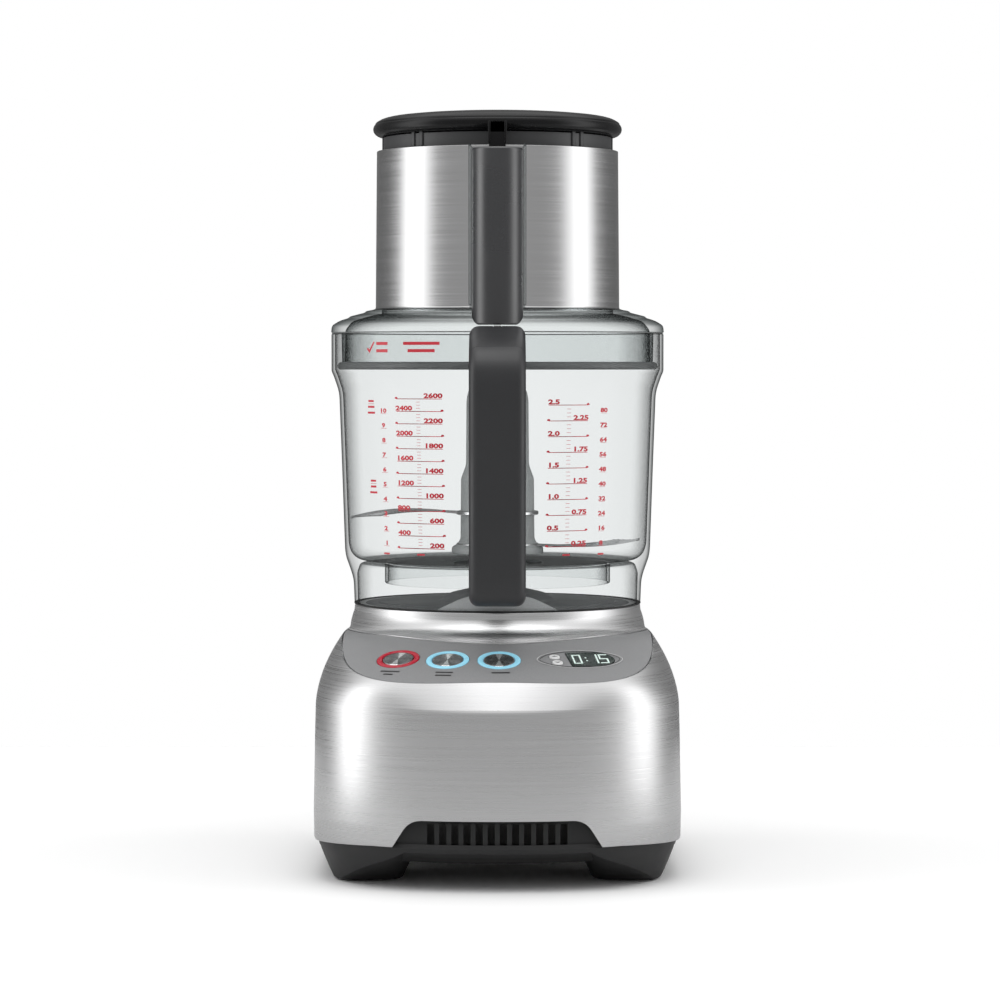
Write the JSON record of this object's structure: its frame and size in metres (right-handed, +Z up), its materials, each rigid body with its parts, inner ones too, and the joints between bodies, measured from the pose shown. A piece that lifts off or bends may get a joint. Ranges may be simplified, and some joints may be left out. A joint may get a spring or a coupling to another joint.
{
  "type": "food processor",
  "caption": "Countertop food processor: brushed metal motor base, clear bowl with front handle, lid with wide chute, pusher, blade and interlock rod.",
  "frame": {"origin": "centre of the object's footprint on the worktop", "axes": "+Z up, front with the buttons and handle towards -Y, +X to the right seen from the front"},
  "size_m": [0.212, 0.2669, 0.4438],
  "materials": {
    "brushed_casing": "vertically lit brushed stainless steel",
    "spun_button": "radially spun metal",
    "blade_steel": "ground stainless steel",
    "hardware_steel": "bright steel",
    "dark_plastic": "soft-touch charcoal",
    "black_cap": "satin black",
    "black_plastic": "fine moulded black",
    "panel_grey": "matte mid grey",
    "clear_plastic": "clear copolyester, tinted at the edges",
    "grey_rubber": "matte rubber",
    "red_light": "lit red ring",
    "blue_light": "lit pale blue ring",
    "cast_aluminium": "die cast",
    "lamination_steel": "stacked laminations",
    "copper_wire": "enamelled winding",
    "circuit_green": "solder mask",
    "pale_plastic": "pale moulding",
    "display": "dark green-grey display window"
  },
  "bodies": {
    "base": {"base_shell": "brushed_casing", "base_pan": "black_plastic", "rubber_foot_front_left": "grey_rubber", "rubber_foot_front_right": "grey_rubber", "rubber_foot_rear_left": "grey_rubber", "rubber_foot_rear_right": "grey_rubber", "base_screw_front_left": "hardware_steel", "base_screw_front_right": "hardware_steel", "base_screw_rear_left": "hardware_steel", "base_screw_rear_right": "hardware_steel", "control_panel": "panel_grey", "lcd_window": "display", "lcd_module": "black_plastic", "control_board": "circuit_green", "power_ring": "red_light", "start_ring": "blue_light", "pulse_ring": "blue_light", "upper_motor_bracket": "cast_aluminium", "lower_motor_bracket": "cast_aluminium", "stator_core": "lamination_steel", "upper_winding": "copper_wire", "lower_winding": "copper_wire", "upper_bearing": "hardware_steel", "lower_bearing": "hardware_steel", "run_capacitor": "cast_aluminium", "power_board": "circuit_green", "interlock_switch": "black_plastic", "cord_gland": "black_plastic", "shaft_seal": "grey_rubber", "plunger_spring": "hardware_steel"},
    "rotor": {"rotor_core": "lamination_steel", "motor_shaft": "hardware_steel", "cooling_fan": "black_plastic", "drive_spindle": "hardware_steel"},
    "power_key": {"power_button": "spun_button"},
    "start_key": {"start_button": "spun_button"},
    "pulse_key": {"pulse_button": "spun_button"},
    "time_up_key": {"time_up_button": "pale_plastic"},
    "time_down_key": {"time_down_button": "pale_plastic"},
    "plunger": {"switch_plunger": "pale_plastic"},
    "bowl_assembly": {"bowl": "clear_plastic", "handle_frame": "dark_plastic", "handle_cover": "dark_plastic", "handle_spring": "hardware_steel"},
    "lower_rod": {"handle_rod": "pale_plastic"},
    "blade": {"blade_hub": "dark_plastic", "upper_blade": "blade_steel", "lower_blade": "blade_steel"},
    "lid_assembly": {"lid": "clear_plastic", "lid_seal": "grey_rubber", "chute_band": "brushed_casing", "rod_column": "dark_plastic", "column_spring": "hardware_steel"},
    "upper_rod": {"column_rod": "pale_plastic"},
    "large_pusher": {"pusher_body": "dark_plastic", "pusher_cap": "black_cap"},
    "inner_pusher": {"small_pusher": "black_cap"}
  },
  "joints": [
    {"name": "motor_spin", "type": "hinge", "parent": "base", "child": "rotor", "pos_m": [0, 0.033, 0], "axis": [0, 0, 1], "continuous": true},
    {"name": "bowl_lift", "type": "slide", "parent": "base", "child": "bowl_assembly", "axis": [0, 0, 1], "range_m": [0, 0.12]},
    {"name": "blade_spin", "type": "hinge", "parent": "bowl_assembly", "child": "blade", "pos_m": [0, 0.033, 0], "axis": [0, 0, 1], "continuous": true},
    {"name": "lid_lift", "type": "slide", "parent": "bowl_assembly", "child": "lid_assembly", "axis": [0, 0, 1], "range_m": [0, 0.06]},
    {"name": "upper_rod_slide", "type": "slide", "parent": "lid_assembly", "child": "upper_rod", "axis": [0, 0, 1], "range_m": [-0.006, 0], "stiffness_N_per_m": 1500, "springref_m": 0.012, "deforming": ["column_spring"]},
    {"name": "lower_rod_slide", "type": "slide", "parent": "bowl_assembly", "child": "lower_rod", "axis": [0, 0, 1], "range_m": [-0.006, 0], "deforming": ["handle_spring"]},
    {"name": "plunger_slide", "type": "slide", "parent": "base", "child": "plunger", "axis": [0, 0, 1], "range_m": [-0.006, 0], "deforming": ["plunger_spring"]},
    {"name": "pusher_lift", "type": "slide", "parent": "upper_rod", "child": "large_pusher", "axis": [0, 0, 1], "range_m": [0, 0.105]},
    {"name": "small_pusher_lift", "type": "slide", "parent": "large_pusher", "child": "inner_pusher", "axis": [0, 0, 1], "range_m": [0, 0.12]},
    {"name": "power_press", "type": "slide", "parent": "base", "child": "power_key", "axis": [0.0963, 0.311, -0.9455], "range_m": [0, 0.0012], "stiffness_N_per_m": 900, "springref_m": -0.0012},
    {"name": "start_press", "type": "slide", "parent": "base", "child": "start_key", "axis": [0.0481, 0.322, -0.9455], "range_m": [0, 0.0012], "stiffness_N_per_m": 900, "springref_m": -0.0012},
    {"name": "pulse_press", "type": "slide", "parent": "base", "child": "pulse_key", "axis": [-0.0017, 0.3256, -0.9455], "range_m": [0, 0.0012], "stiffness_N_per_m": 900, "springref_m": -0.0012},
    {"name": "time_up_press", "type": "slide", "parent": "base", "child": "time_up_key", "axis": [-0.0743, 0.317, -0.9455], "range_m": [0, 0.0012], "stiffness_N_per_m": 900, "springref_m": -0.0012},
    {"name": "time_down_press", "type": "slide", "parent": "base", "child": "time_down_key", "axis": [-0.0743, 0.317, -0.9455], "range_m": [0, 0.0012], "stiffness_N_per_m": 900, "springref_m": -0.0012}
  ],
  "couplings": [
    {"joint": "blade_spin", "follows": "motor_spin", "ratio": 1},
    {"joint": "lower_rod_slide", "follows": "upper_rod_slide", "ratio": 1},
    {"joint": "plunger_slide", "follows": "upper_rod_slide", "ratio": 1}
  ]
}
